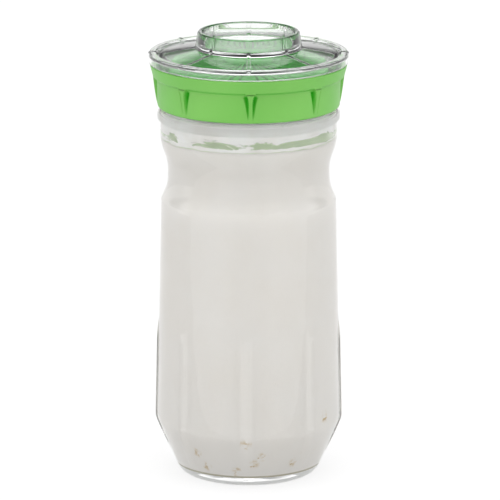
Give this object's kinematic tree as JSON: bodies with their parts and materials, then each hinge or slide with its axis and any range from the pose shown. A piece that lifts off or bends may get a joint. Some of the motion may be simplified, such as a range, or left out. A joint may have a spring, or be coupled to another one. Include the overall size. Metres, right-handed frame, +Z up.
{
  "type": "kefir fermentation jar",
  "caption": "Ribbed glass jar full of kefir, closed by a green screw lid with a built-in strainer and a clear screw cover with an open cup on top.",
  "frame": {"origin": "centre of the jar's foot, on the surface it stands on", "axes": "+Z up along the jar's axis; the lid's gussets and the cover's spokes lie on +X, +Y and the diagonals; the pictured side faces -Y"},
  "size_m": [0.0958, 0.0958, 0.218],
  "materials": {
    "glass": "clear pressed glass, glossy",
    "kefir": "opaque off-white fermented milk, soft gloss",
    "grain": "moist tan kefir grain",
    "jar_silicone": "translucent white silicone, satin",
    "green_plastic": "moulded green plastic, soft gloss",
    "cover_silicone": "translucent white silicone, satin",
    "clear_plastic": "clear moulded plastic, glossy"
  },
  "bodies": {
    "jar": {"glass_jar": "glass", "kefir": "kefir", "kefir_grain_01": "grain", "kefir_grain_02": "grain", "kefir_grain_03": "grain", "kefir_grain_04": "grain", "kefir_grain_05": "grain", "kefir_grain_06": "grain", "kefir_grain_07": "grain", "kefir_grain_08": "grain", "kefir_grain_09": "grain", "kefir_grain_10": "grain", "kefir_grain_11": "grain", "kefir_grain_12": "grain"},
    "jar_gasket": {"jar_seal": "jar_silicone"},
    "lid": {"strainer_lid": "green_plastic"},
    "cover_gasket": {"cover_seal": "cover_silicone"},
    "cover": {"clear_cover": "clear_plastic"}
  },
  "joints": [
    {"name": "lid_rise", "type": "slide", "parent": "jar", "child": "jar_gasket", "axis": [0, 0, 1], "range_m": [0, 0.02]},
    {"name": "lid_turn", "type": "hinge", "parent": "jar_gasket", "child": "lid", "pos_m": [0, 0, 0.19], "axis": [0, 0, 1], "range_deg": [0, 450]},
    {"name": "cover_rise", "type": "slide", "parent": "lid", "child": "cover_gasket", "axis": [0, 0, 1], "range_m": [0, 0.012]},
    {"name": "cover_turn", "type": "hinge", "parent": "cover_gasket", "child": "cover", "pos_m": [0, 0, 0.2], "axis": [0, 0, 1], "range_deg": [0, 270]}
  ],
  "couplings": [
    {"joint": "lid_rise", "follows": "lid_turn", "m_per_rad": 0.0025465},
    {"joint": "cover_rise", "follows": "cover_turn", "m_per_rad": 0.0025465}
  ]
}
